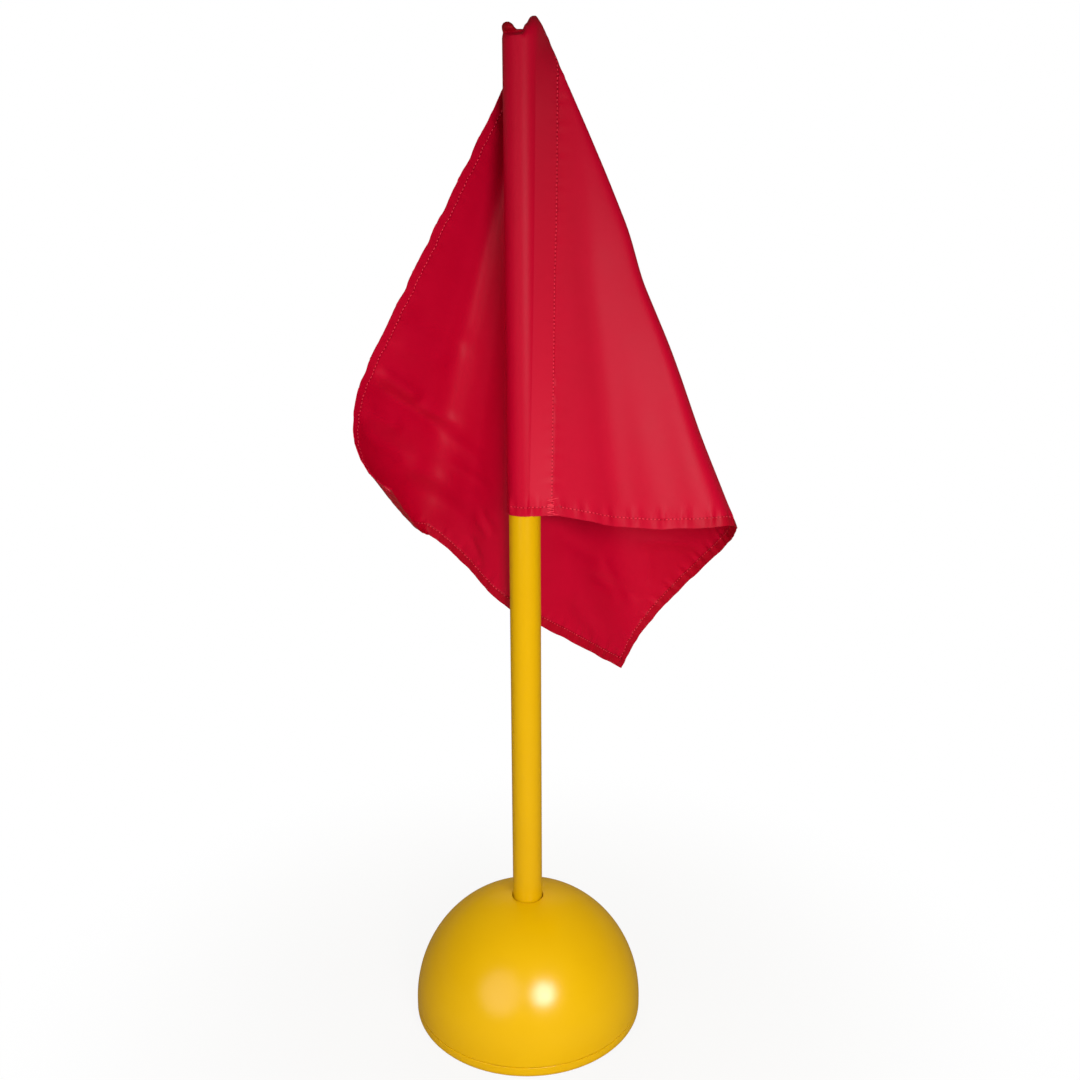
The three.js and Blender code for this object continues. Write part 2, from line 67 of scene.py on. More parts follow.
# The studio is a pale floor, two soft lamps in front, of which the right one makes the bright
# spot on the dome, and a third behind for the flag's back. The camera sees white all round, and
# the floor fades into it with distance, so that only the shadow round the base shows.
WHITE = (1, 1, 1, 1)
FLOOR_SIZE = 12.0
FLOOR_WHITE = (0.62, 0.58, 0.50, 1)
FLOOR_IN_GLOSS = (0.26, 0.20, 0.10, 1)
FLOOR_ROUGHNESS = 0.9
FLOOR_GLOW = 0.90
FADE_START = 0.15
FADE_END = 0.60
WORLD_TINT = (1, 0.85, 0.68, 1)
WORLD_LOW = 0.62
WORLD_HIGH = 0.24
WORLD_GLOSS_CUT = 0.75
WORLD_FADE_START = 0.05
WORLD_FADE_END = 0.25
KEY_PLACE = (0.37, -1.11, 0.76)
KEY_SIZE = 0.52
KEY_POWER = 4.7
FILL_PLACE = (-0.61, -1.01, 0.74)
FILL_SIZE = 1.0
FILL_POWER = 1.9
BACK_PLACE = (0, 1.7, 1.0)
BACK_SIZE = 1.6
BACK_POWER = 7.0
LAMP_SPREAD = math.radians(110)
LAMP_AIM = (0, 0, 0.25)
SHARP_TURN = math.radians(40)


class Signal:
    """The output of a shader node, so that maths on it reads as a plain expression."""

    def __init__(self, shading, socket):
        self.shading = shading
        self.socket = socket

    def _maths(self, operation, first, second):
        return self.shading.node("ShaderNodeMath", {"operation": operation}, {0: first, 1: second})

    def __add__(self, other):
        return self._maths("ADD", self, other)

    def __sub__(self, other):
        return self._maths("SUBTRACT", self, other)

    def __mul__(self, other):
        return self._maths("MULTIPLY", self, other)

    def __rsub__(self, other):
        return self._maths("SUBTRACT", other, self)

    __radd__ = __add__
    __rmul__ = __mul__

    def between(self, low, high):
        """This signal spread over 0 to 1 between two of its values, with soft ends."""
        return self.shading.node("ShaderNodeMapRange", {"interpolation_type": "SMOOTHSTEP"},
                                 {"Value": self, "From Min": low, "From Max": high})


class Shading:
    """A tree of shader nodes, with the one method that gives it any node it needs."""

    # Where a Mix node keeps its two colours and their mixture.
    LOW_COLOUR, HIGH_COLOUR, MIXED_COLOUR = 6, 7, 2

    def __init__(self, tree):
        self.tree = tree

    def node(self, kind, settings=None, inputs=None, output=0):
        """A new node: its settings come first, then the values or links of its sockets."""
        made = self.tree.nodes.new(kind)
        for name, value in (settings or {}).items():
            setattr(made, name, value)
        for name, value in (inputs or {}).items():
            self.feed(made.inputs[name], value)
        return Signal(self, made.outputs[output])

    def feed(self, socket, value):
        """Links a signal to a socket, or sets the socket to a value."""
        if isinstance(value, Signal):
            self.tree.links.new(value.socket, socket)
        else:
            socket.default_value = value

    def mix(self, share, low, high):
        """A colour between two, or with a colour signal in either place."""
        inputs = {"Factor": share, self.LOW_COLOUR: low, self.HIGH_COLOUR: high}
        return self.node("ShaderNodeMix", {"data_type": "RGBA"}, inputs, self.MIXED_COLOUR)


class Finish(Shading):
    """A material, with the surface detail that its real one shows."""

    def __init__(self, name):
        self.material = bpy.data.materials.new(name)
        self.material.use_nodes = True
        super().__init__(self.material.node_tree)
        self.shader = self.tree.nodes["Principled BSDF"]
        self.surface = self.tree.nodes["Material Output"].inputs["Surface"]

    def set(self, **inputs):
        """Feeds the shader's sockets, named with _ for each space."""
        for name, value in inputs.items():
            self.feed(self.shader.inputs[name.replace("_", " ")], value)

    def noise(self, scale, detail=2):
        """Soft noise over the piece, with this many waves to the metre."""
        place = self.node("ShaderNodeTexCoord", output="Object")
        return self.node("ShaderNodeTexNoise", inputs={
            "Vector": place, "Scale": scale, "Detail": detail})

    def bump(self, height, distance, strength=1.0):
        """A bump that stands out by this distance, in metres."""
        return self.node("ShaderNodeBump", inputs={
            "Height": height, "Distance": distance, "Strength": strength})


def lamp(name, place, size, power):
    """A round soft lamp aimed at the middle of the flag."""
    data = bpy.data.lights.new(name, "AREA")
    data.shape = "DISK"
    data.size = size
    data.energy = power
    data.spread = LAMP_SPREAD
    made = bpy.data.objects.new(name, data)
    made.location = place
    made.rotation_euler = (Vector(LAMP_AIM) - made.location).to_track_quat("-Z", "Y").to_euler()
    bpy.context.collection.objects.link(made)
    return made


lamp("key_lamp", KEY_PLACE, KEY_SIZE, KEY_POWER)
lamp("fill_lamp", FILL_PLACE, FILL_SIZE, FILL_POWER)
lamp("back_lamp", BACK_PLACE, BACK_SIZE, BACK_POWER).visible_glossy = False

world = bpy.data.worlds.new("studio")
world.use_nodes = True
scene.world = world
sky = Shading(world.node_tree)
background = sky.tree.nodes["Background"]
heading = sky.node("ShaderNodeTexCoord", output="Generated")
upward = sky.node("ShaderNodeSeparateXYZ", inputs={"Vector": heading}, output="Z")
level = WORLD_LOW - (WORLD_LOW - WORLD_HIGH) * upward.between(WORLD_FADE_START, WORLD_FADE_END)
level = level * (1 - WORLD_GLOSS_CUT * sky.node("ShaderNodeLightPath", output="Is Glossy Ray"))
sky_seen = sky.node("ShaderNodeLightPath", output="Is Camera Ray")
sky.feed(background.inputs["Strength"], level + (1 - level) * sky_seen)
sky.feed(background.inputs["Color"], sky.mix(sky_seen, WORLD_TINT, WHITE))

floor_finish = Finish("floor_white")
in_gloss = floor_finish.node("ShaderNodeLightPath", output="Is Glossy Ray")
floor_finish.set(Base_Color=floor_finish.mix(in_gloss, FLOOR_WHITE, FLOOR_IN_GLOSS),
                 Roughness=FLOOR_ROUGHNESS)
place = floor_finish.node("ShaderNodeTexCoord", output="Object")
distance = floor_finish.node("ShaderNodeVectorMath", {"operation": "LENGTH"}, {0: place},
                             output="Value")
fade = FLOOR_GLOW + (1 - FLOOR_GLOW) * distance.between(FADE_START, FADE_END)
floor_seen = floor_finish.node("ShaderNodeLightPath", output="Is Camera Ray")
glow = floor_finish.node("ShaderNodeEmission", inputs={"Color": WHITE})
lit_floor = Signal(floor_finish, floor_finish.shader.outputs["BSDF"])
shown = floor_finish.node("ShaderNodeMixShader", inputs={
    0: floor_seen * fade, 1: lit_floor, 2: glow})
floor_finish.feed(floor_finish.surface, shown)


def piece_of(name, points, faces, material):
    """A mesh object from its points and faces, smooth but for its sharp edges."""
    mesh = bpy.data.meshes.new(name)
    mesh.from_pydata([tuple(point) for point in points], [], faces)
    mesh.shade_smooth()
    mesh.set_sharp_from_angle(angle=SHARP_TURN)
    mesh.materials.append(material)
    made = bpy.data.objects.new(name, mesh)
    bpy.context.collection.objects.link(made)
    return made


half_floor = FLOOR_SIZE / 2
floor_corners = [(-half_floor, -half_floor, 0), (half_floor, -half_floor, 0),
                 (half_floor, half_floor, 0), (-half_floor, half_floor, 0)]
piece_of("floor", floor_corners, [(0, 1, 2, 3)], floor_finish.material)


# The base is a dome of moulded yellow plastic that sits on a plate of the same plastic, whose
# rim shows as a band under a fine parting line. The pole drops through a hole in its top. Dome
# and plate are turned again here with finer steps, a rounded lip and softened parting edges.
YELLOW = (0.80, 0.475, 0.0, 1)
DEEP_YELLOW = (0.75, 0.42, 0.0, 1)
TURN_STEPS = 160
ARC_STEPS = 48
CORNER_STEPS = 6
SHELL_WALL = 0.004
HOLE_CLEARANCE = 0.0009
COLLAR_LIP = 0.008
COLLAR_DEPTH = 0.018
COLLAR_WALL = 0.004
SOCKET_SIDE = 0.003
SOCKET_PLAY = 0.0003
HOLE_LIP = 0.0008
PARTING_ROUND = 0.0005
GROOVE = 0.0007
GROOVE_DEPTH = 0.002
RIM_ROUND = 0.006
RIM_LIFT = 0.0008
RIM_WIDTH = 0.0087
PAD_THICKNESS = 0.0025
PLATE_FLOOR = 0.003
SPIGOT_WALL = 0.003
SPIGOT_PLAY = 0.001
PLASTIC_ROUGHNESS = 0.205
HANDLED_ROUGHNESS = 0.04
PLASTIC_GLOSS = 0.42
PEBBLE_RISE = 0.0001

dome_low, dome_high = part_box("dome_shell")
plate_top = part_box("base_plate")[1].z
pole_low, pole_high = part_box("pole_tube")
base_radius = (dome_high.x - dome_low.x) / 2
pole_radius = (pole_high.x - pole_low.x) / 2
socket_radius = pole_radius + SOCKET_SIDE
parting_z = dome_low.z
hole_radius = pole_radius + HOLE_CLEARANCE
hole_z = dome_high.z
dome_rise = (hole_z - parting_z) / math.sqrt(1 - (hole_radius / base_radius) ** 2)


def arc(centre, radii, start, end, steps):
    """Points [radius, height] on part of an ellipse, between two angles in degrees."""
    turns = np.radians(np.linspace(start, end, steps + 1))
    return [(centre[0] + radii[0] * math.cos(turn), centre[1] + radii[1] * math.sin(turn))
            for turn in turns]


def turned(name, outline, material):
    """A body turned about the pole's axis from a closed outline of radius and height."""
    points = [(radius * math.cos(turn), radius * math.sin(turn), height)
              for turn in np.linspace(0, 2 * math.pi, TURN_STEPS, endpoint=False)
              for radius, height in outline]
    count = len(outline)
    faces = []
    for step in range(TURN_STEPS):
        here, there = step * count, (step + 1) % TURN_STEPS * count
        for i in range(count):
            after = (i + 1) % count
            if outline[i][0] > 0 or outline[after][0] > 0:
                faces.append((here + i, here + after, there + after, there + i))
    return piece_of(name, points, [face[::-1] for face in faces], material)


def yellow_plastic(name, deep, bright):
    """Satin yellow plastic with a faint mottle and the fine pebble of its mould."""
    finish = Finish(name)
    mottle = finish.noise(scale=14, detail=4)
    handling = finish.noise(scale=55, detail=6)
    pebble = finish.noise(scale=1400, detail=1)
    finish.set(Base_Color=finish.mix(mottle, deep, bright),
               Roughness=PLASTIC_ROUGHNESS + HANDLED_ROUGHNESS * handling,
               Specular_IOR_Level=PLASTIC_GLOSS,
               Normal=finish.bump(pebble, distance=PEBBLE_RISE, strength=0.25))
    return finish.material


base_plastic = yellow_plastic("base_plastic", DEEP_YELLOW, YELLOW)
lip_turn = math.degrees(math.acos((hole_radius + HOLE_LIP) / base_radius))
lip_foot = dome_rise * math.sin(math.radians(lip_turn)) + parting_z - HOLE_LIP
inner_radius = base_radius - SHELL_WALL
collar_bore = socket_radius + SOCKET_PLAY
collar_radius = collar_bore + COLLAR_WALL
collar_turn = math.degrees(math.acos(collar_radius / inner_radius))
dome = turned("dome", [
    *arc((base_radius - PARTING_ROUND, parting_z + PARTING_ROUND), (PARTING_ROUND, PARTING_ROUND),
         -90, 0, CORNER_STEPS),
    *arc((0, parting_z), (base_radius, dome_rise), 1, lip_turn, ARC_STEPS),
    *arc((hole_radius + HOLE_LIP, lip_foot), (HOLE_LIP, HOLE_LIP), 100, 180, CORNER_STEPS),
    (hole_radius, hole_z - COLLAR_LIP), (collar_bore, hole_z - COLLAR_LIP),
    (collar_bore, hole_z - COLLAR_DEPTH), (collar_radius, hole_z - COLLAR_DEPTH),
    *arc((0, parting_z), (inner_radius, dome_rise - SHELL_WALL), collar_turn, 0, ARC_STEPS),
], base_plastic)
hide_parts("dome_shell")
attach(dome, "base")

spigot_outer = inner_radius - SPIGOT_PLAY
spigot_inner = spigot_outer - SPIGOT_WALL
plate_floor_z = PAD_THICKNESS + PLATE_FLOOR
plate = turned("plate", [
    (0, PAD_THICKNESS), (base_radius - RIM_WIDTH, PAD_THICKNESS),
    (base_radius - RIM_WIDTH, RIM_LIFT),
    *arc((base_radius - RIM_ROUND, RIM_LIFT + RIM_ROUND), (RIM_ROUND, RIM_ROUND), -90, 0,
         CORNER_STEPS),
    *arc((base_radius - PARTING_ROUND, parting_z - GROOVE - PARTING_ROUND),
         (PARTING_ROUND, PARTING_ROUND), 0, 90, CORNER_STEPS),
    (base_radius - GROOVE_DEPTH, parting_z - GROOVE), (base_radius - GROOVE_DEPTH, parting_z),
    (spigot_outer, parting_z), (spigot_outer, plate_top),
    (spigot_inner, plate_top), (spigot_inner, plate_floor_z), (0, plate_floor_z),
], base_plastic)
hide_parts("base_plate")
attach(plate, "base")


# The pole is a length of the same yellow plastic tube, its colour painted darker than the
# dome's as painted shade that evens out the stronger lamp light on it, with a grey plug in its
# foot and a grey cap under the sleeve. What is inside the base keeps its plain solids: a rubber
# pad, a concrete ring, a grey socket and zinc screws.
POLE_WALL = 0.0022
POLE_EDGE = 0.0005
# The pole's yellow is painted darker than the dome's, as painted shade.
POLE_SHADED_YELLOW = (0.70, 0.405, 0.0, 1)
POLE_SHADED_DEEP_YELLOW = (0.66, 0.365, 0.0, 1)
GREY = (0.045, 0.048, 0.053, 1)
RUBBER = (0.012, 0.012, 0.013, 1)
CONCRETE_DARK = (0.19, 0.18, 0.165, 1)
CONCRETE_LIGHT = (0.36, 0.345, 0.32, 1)
ZINC = (0.56, 0.57, 0.58, 1)
INNER_SHARP_TURN = math.radians(35)


def grey_plastic():
    """Dull grey plastic with the fine grain of its mould."""
    finish = Finish("grey_plastic")
    wear = finish.noise(scale=60, detail=4)
    grain = finish.noise(scale=900)
    finish.set(Base_Color=GREY, Roughness=0.42 + 0.12 * wear,
               Normal=finish.bump(grain, distance=0.0002, strength=0.2))
    return finish.material


def black_rubber():
    """Matt rubber with a coarse skin."""
    finish = Finish("black_rubber")
    wear = finish.noise(scale=40, detail=5)
    skin = finish.noise(scale=700, detail=4)
    finish.set(Base_Color=RUBBER, Roughness=0.72 + 0.15 * wear,
               Normal=finish.bump(skin, distance=0.0003, strength=0.4))
    return finish.material


def cast_concrete():
    """Rough concrete, mottled by its sand."""
    finish = Finish("concrete")
    sand = finish.noise(scale=90, detail=8)
    pits = finish.noise(scale=260, detail=8)
    finish.set(Base_Color=finish.mix(sand, CONCRETE_DARK, CONCRETE_LIGHT), Roughness=0.9,
               Normal=finish.bump(pits, distance=0.001))
    return finish.material


def zinc_steel():
    """Steel with a thin coat of zinc, unevenly dulled."""
    finish = Finish("zinc_steel")
    dulling = finish.noise(scale=300, detail=4)
    finish.set(Base_Color=ZINC, Metallic=1, Roughness=0.28 + 0.15 * dulling)
    return finish.material


def dress(names, material):
    """Gives carried-over CAD nodes a better material and smooth round faces."""
    for name in names:
        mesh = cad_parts[name].data
        mesh.materials.clear()
        mesh.materials.append(material)
        mesh.shade_smooth()
        mesh.set_sharp_from_angle(angle=INNER_SHARP_TURN)


shaded_pole_plastic = yellow_plastic("shaded_pole_plastic", POLE_SHADED_DEEP_YELLOW, POLE_SHADED_YELLOW)
pole_bore = pole_radius - POLE_WALL
pole = turned("pole", [
    (pole_bore, pole_low.z), (pole_radius - POLE_EDGE, pole_low.z),
    (pole_radius, pole_low.z + POLE_EDGE), (pole_radius, pole_high.z - POLE_EDGE),
    (pole_radius - POLE_EDGE, pole_high.z), (pole_bore, pole_high.z),
], shaded_pole_plastic)
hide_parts("pole_tube")
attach(pole, "pole")

dress(["pole_top_cap", "pole_foot_plug", "pole_socket"], grey_plastic())
dress(["grip_pad"], black_rubber())
dress(["ballast"], cast_concrete())
dress([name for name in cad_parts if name.startswith("base_screw_")], zinc_steel())


# The flag is one cut of thin red nylon. Its hoist is turned round the pole and sewn down as a
# sleeve, its top is sewn shut over the pole, and its other edges are turned over and hemmed.
# It hangs as a cone of straight lines from its top corner, and its free corner curls forward.
FLAG_HOIST = 0.456
FLAG_FLY = 0.465
SEAM_OUT = 0.017
FLAG_CORNER = np.array((0.0155, 0.0216, 1.006))
DRAPE_PLAN = (
    (-0.011, -0.068), (0.121, -0.092), (0.274, -0.123), (0.371, -0.121), (0.406, -0.093),
    (0.408, -0.040), (0.376, 0.050), (0.276, 0.130), (0.168, 0.140), (0.050, 0.044),
    (-0.060, -0.004), (-0.160, 0.066), (-0.241, 0.100), (-0.318, 0.060), (-0.417, -0.015),
    (-0.520, -0.096))
DRAPE_STEPS = 480
FOLD_SLOPE = 0.445
FOLD_FULLNESS = ((0.07, 0.38, 0.52), (0.035, 0.60, 0.85))
CURL_TOP = 0.325 * FLAG_FLY
CURL_FLY = 0.35 * FLAG_HOIST
CURL_SLANT = math.radians(22)
CURL_PROBE = 0.001
HEM_PUCKER = 0.004
HEM_SAG = 0.005
HEM_SAG_SPAN = 0.2
FLY_EDGE = SEAM_OUT + FLAG_FLY

SLEEVE_PLAY = 0.0012
SLEEVE_STEPS = 44
SLEEVE_CROWDING = 1.5
CREASE_DOWN = 0.021
EAR_END = 0.52
DIP_END = 0.66
PINCH_Z = 0.9893
PINCH_WIDTH = 0.0026
PINCH_SHARES = (0.05, 0.60, 0)
EAR_SHADE = 1.5
TOP_STEP = 0.0009
PEAK_LEAN = 0.003
PEAK_FOOT = 0.994
PEAK_SIDE = 0.008
# The sleeve's sewn top: shares of the way from its left end to the corner, and heights.
RIDGE = ((0, 0.9950), (0.04, 0.9974), (0.10, 0.9982), (0.19, 0.9983), (0.285, 0.9968),
         (0.345, 0.9940), (0.375, 0.9928), (0.57, 0.9930), (0.585, 0.9946), (0.61, 0.9966),
         (0.686, 0.9986), (0.733, 0.9998), (0.80, 1.0024), (0.86, 1.0044), (0.93, 1.0056),
         (1, 1.0060))
# Shares of the way round the sleeve from its seam, over which each of these fades.
LAP_SHARE = 0.4
TAIL_SHARE = 0.3
RIDGE_SHARE = 0.12
LAP_WIDTH = 0.008
LAP_DEPTH = 0.0008
CLOTH = 0.0004
HEM_WIDTH = 0.010
HEM_EDGE = 0.0003
HEM_FOLD = 0.0004
RIM = 0.0006
GRID_STEP = 0.0028
TINY = 1e-9

sleeve_radius = pole_radius + SLEEVE_PLAY


def smooth(low, high, value):
    """0 below one value and 1 above another, with a soft ramp between them."""
    share = np.clip((value - low) / (high - low), 0, 1)
    return share * share * (3 - 2 * share)


def unit(vectors):
    """The same directions at length 1."""
    return vectors / np.maximum(np.linalg.norm(vectors, axis=-1, keepdims=True), TINY)


def drape():
    """The drape's straight lines, from a smooth curve through its plan, and their turns.

    A line's turn is its angle from the hoist in the flat cloth, which hanging doesn't change.
    """
    plan = np.array([(across, back, -1) for across, back in DRAPE_PLAN])
    ends = np.vstack([2 * plan[0] - plan[1], plan, 2 * plan[-1] - plan[-2]])
    reach = np.linspace(0, len(plan) - 1, DRAPE_STEPS + 1)
    first = np.minimum(reach.astype(int), len(plan) - 2)
    t = (reach - first)[:, None]
    before, near, far, after = (ends[first + k] for k in range(4))
    leave, arrive = (far - before) / 2, (after - near) / 2
    lines = unit(near + leave * t + (3 * (far - near) - 2 * leave - arrive) * t ** 2
                 + (2 * (near - far) + leave + arrive) * t ** 3)
    steps = np.arccos(np.clip((lines[1:] * lines[:-1]).sum(axis=1), -1, 1))
    return lines, np.concatenate([[0], np.cumsum(steps)])


drape_lines, drape_turns = drape()


def on_drape(out, down):
    """Where points of the flat cloth hang, before the corner curls.

    A point's place in the flat cloth is out from the hoist's fold and down from the top hem.
    """
    out, down = np.broadcast_arrays(np.asarray(out, float), np.asarray(down, float))
    turn = np.arctan2(out, down)
    low = np.clip(np.searchsorted(drape_turns, turn) - 1, 0, DRAPE_STEPS - 1)
    share = ((turn - drape_turns[low]) / (drape_turns[low + 1] - drape_turns[low]))[..., None]
    point = unit(drape_lines[low] * (1 - share) + drape_lines[low + 1] * share)
    point *= np.hypot(out, down)[..., None]
    depth = np.clip(-point[..., 2] / FLAG_HOIST, 0, 1)
    fullness = sum(most * (1 - smooth(start, end, depth)) for most, start, end in FOLD_FULLNESS)
    point[..., 0] *= np.where(point[..., 0] > 0, 1 + fullness, 1)
    across = np.clip((out - SEAM_OUT) / HEM_SAG_SPAN, 0, 1)
    drop = HEM_SAG * np.sin(np.pi * across) ** 2
    drop = drop - HEM_PUCKER * (1 - smooth(SEAM_OUT, 4 * SEAM_OUT, out))
    point[..., 2] -= drop * (down / FLAG_HOIST) ** 2
    return point + FLAG_CORNER


flat_tip = np.array((FLY_EDGE, CURL_FLY))
flat_end = np.array((FLY_EDGE - CURL_TOP, 0))
flat_line = unit(flat_end - flat_tip)
flat_across = np.array((-flat_line[1], flat_line[0]))
flat_middle = (flat_tip + flat_end) / 2
curl_tip = on_drape(*flat_tip)
curl_line = unit(on_drape(*flat_end) - curl_tip)
curl_across = on_drape(*(flat_middle + flat_across * CURL_PROBE)) - on_drape(*flat_middle)
curl_forward = unit(np.cross(curl_line, curl_across))
curl_axis = curl_line * math.cos(CURL_SLANT) + curl_forward * math.sin(CURL_SLANT)


def on_flag(out, down):
    """Where points of the flat cloth hang, with the free top corner rolled on a cone."""
    out, down = np.broadcast_arrays(np.asarray(out, float), np.asarray(down, float))
    reach = np.stack([out, down], axis=-1) - flat_tip
    beyond = reach @ flat_across
    turn = (np.arctan2(beyond, reach @ flat_line) / math.sin(CURL_SLANT))[..., None]
    start = flat_tip + flat_line * np.linalg.norm(reach, axis=-1)[..., None]
    arm = on_drape(start[..., 0], start[..., 1]) - curl_tip
    rolled = (arm * np.cos(turn) + np.cross(curl_axis, arm) * np.sin(turn)
              + curl_axis * (arm @ curl_axis)[..., None] * (1 - np.cos(turn)))
    return np.where((beyond > 0)[..., None], curl_tip + rolled, on_drape(out, down))


def grid_lines(*breaks, step=GRID_STEP):
    """Places from the first break to the last, a step apart at most, with all the breaks."""
    places = []
    for low, high in zip(breaks, breaks[1:]):
        count = math.ceil((high - low) / step)
        places += [low + (high - low) * i / count for i in range(count)]
    return np.array([*places, breaks[-1]])


hem_breaks = np.array((HEM_WIDTH + 3 * HEM_EDGE, HEM_WIDTH + HEM_EDGE, HEM_WIDTH - HEM_EDGE,
                       HEM_WIDTH - 3 * HEM_EDGE, RIM, 0))
top_downs = grid_lines(*hem_breaks[::-1], CREASE_DOWN, step=TOP_STEP)
lower_downs = grid_lines(CREASE_DOWN, *(FLAG_HOIST - hem_breaks))
downs = np.concatenate([top_downs, lower_downs[1:]])
outs = grid_lines(SEAM_OUT, *(FLY_EDGE - hem_breaks))
tails = np.minimum(SEAM_OUT, downs * FOLD_SLOPE)


# The sewn edges are drawn up in small puckers, and the outer ones are faintly scalloped. The
# hanging cloth has two broad folds beside its seam in front, soft slanting creases on the sheet
# behind the pole, and crinkles over the long hem beside the sleeve's foot.
TAU = 2 * math.pi
STITCH_LINE = 0.009
PUCKER_RISE = 0.0005
PUCKER_LENGTH = 0.015
PUCKER_WIDTH = 0.008
SECOND_PUCKER = 0.6
HEM_GATHER = 1.7
SCALLOP = 0.0009
SECOND_SCALLOP = 0.5
SCALLOP_LENGTH = 0.043
SCALLOP_FADE = 0.012
SCALLOP_SHARE = 1 / 3
CORNER_FADE = 0.05
CREASE_FADE = 0.28
SECOND_RATIO = 1.6
# Each crease has its two ends in the flat cloth, its half width and its rise to the outside.
CREASES = (
    ((0.022, 0.060), (0.103, 0.600), 0.015, 0.0034),
    ((0.060, 0.120), (0.185, 0.620), 0.021, -0.0034),
    ((0.285, 0.012), (0.290, 0.110), 0.010, 0.0024),
    ((0.318, 0.008), (0.314, 0.090), 0.010, -0.0022),
    ((0.347, 0.006), (0.357, 0.080), 0.007, -0.0040),
    ((0.362, 0.006), (0.377, 0.130), 0.007, 0.0040),
    ((0.363, 0.070), (0.364, 0.135), 0.006, -0.0020),
    ((0.386, 0.006), (0.392, 0.075), 0.008, -0.0034),
    ((0.381, 0.090), (0.377, 0.180), 0.007, 0.0010),
    ((0.403, 0.008), (0.418, 0.110), 0.009, 0.0036),
    ((0.420, 0.050), (0.426, 0.160), 0.008, -0.0022),
    ((0.404, 0.132), (0.391, 0.200), 0.005, 0.0012),
    ((0.443, 0.090), (0.438, 0.200), 0.009, 0.0018),
    ((0.417, 0.188), (0.427, 0.226), 0.004, 0.0013),
    ((0.429, 0.190), (0.437, 0.224), 0.004, -0.0012),
    ((0.449, 0.194), (0.467, 0.230), 0.004, 0.0013),
    ((0.395, 0.280), (0.390, 0.370), 0.008, 0.0016),
    ((0.385, 0.350), (0.420, 0.425), 0.006, -0.0020),
    ((0.410, 0.340), (0.405, 0.440), 0.007, 0.0022),
    ((0.440, 0.330), (0.468, 0.420), 0.009, 0.0022),
    ((0.360, 0.380), (0.300, 0.445), 0.007, -0.0018),
    ((0.350, 0.400), (0.390, 0.430), 0.004, 0.0014),
)


def waves(along, length, second):
    """A wave with a weaker, shorter one on it, so that no two crests are alike."""
    turn = TAU * along / length
    return np.sin(turn) + second * np.sin(SECOND_RATIO * turn + 1)


def scallops(along):
    """How far an outer edge is drawn in, by the place along it."""
    return SCALLOP * waves(along, SCALLOP_LENGTH, SECOND_SCALLOP)


def gathers(along, away):
    """Small puckers beside a line of stitches, by the place along it and the distance from it."""
    wave = waves(along, PUCKER_LENGTH, SECOND_PUCKER)
    return PUCKER_RISE * wave * np.exp(-(away / PUCKER_WIDTH) ** 2)


def crease(out, down, start, end, width, rise):
    """A soft ridge or valley along a straight line in the flat cloth."""
    line = np.subtract(end, start)
    length = np.hypot(*line)
    along = ((out - start[0]) * line[0] + (down - start[1]) * line[1]) / length ** 2
    away = ((out - start[0]) * line[1] - (down - start[1]) * line[0]) / length
    fade = smooth(0, CREASE_FADE, along) * smooth(0, CREASE_FADE, 1 - along)
    return rise * fade * np.exp(-(away / width) ** 2)


def wrinkles(out, down):
    """How far the cloth stands out from its smooth hang, toward its outer side."""
    near_corner = smooth(0, CORNER_FADE, np.hypot(out, down))
    height = gathers(out, down - FLAG_HOIST + STITCH_LINE) * HEM_GATHER
    height = height + gathers(out, down - STITCH_LINE) * near_corner
    height += gathers(down, out - FLY_EDGE + STITCH_LINE)
    height += gathers(down, out - SEAM_OUT) / 2
    return height + sum(crease(out, down, *spec) for spec in CREASES)


def panel_points():
    """The flag from its seam to the fly: points, and their places out."""
    fade = np.clip(1 - (outs - SEAM_OUT) / (4 * SEAM_OUT), 0, 1)
    out = outs + (tails[:, None] - SEAM_OUT) * fade
    down = np.broadcast_to(downs[:, None], out.shape)
    near_corner = smooth(0, CORNER_FADE, np.hypot(out, down))
    at_top = np.exp(-down / SCALLOP_FADE)
    at_foot = SCALLOP_SHARE * np.exp((down - FLAG_HOIST) / SCALLOP_FADE)
    at_fly = SCALLOP_SHARE * np.exp((out - FLY_EDGE) / SCALLOP_FADE)
    down_drawn = down + scallops(out) * near_corner * (at_top - at_foot)
    out_drawn = out - scallops(down) * near_corner * at_fly
    return on_flag(out_drawn, np.maximum(down_drawn, 0)), out


def outward(points):
    """The direction of the cloth's outer side at each point of a grid."""
    across = np.gradient(points, axis=1)
    down = np.gradient(points, axis=0)
    return unit(np.cross(down, across))


def sleeve_level(down, tail):
    """The sleeve at one level, from the lap behind its seam round its back and then its front."""
    seam = on_flag(tail, down)
    heading = math.atan2(seam[1], seam[0])
    reach = max(math.hypot(seam[0], seam[1]), sleeve_radius)
    touch = math.acos(sleeve_radius / reach)
    half_turn = np.where(sleeve_back, math.pi - heading, -math.pi - heading)
    turn = half_turn * sleeve_shares ** SLEEVE_CROWDING
    radius = sleeve_radius / np.cos(np.maximum(touch - abs(turn), 0))
    points = np.stack([radius * np.cos(heading + turn), radius * np.sin(heading + turn),
                       np.full(turn.shape, seam[2])], axis=-1)
    behind = np.array((-math.sin(heading), math.cos(heading), 0)) * LAP_DEPTH
    behind = behind * smooth(0, CREASE_DOWN, down)
    at_lap = sleeve_back * (1 - smooth(0, LAP_SHARE, sleeve_shares))
    return points + behind * at_lap[:, None]


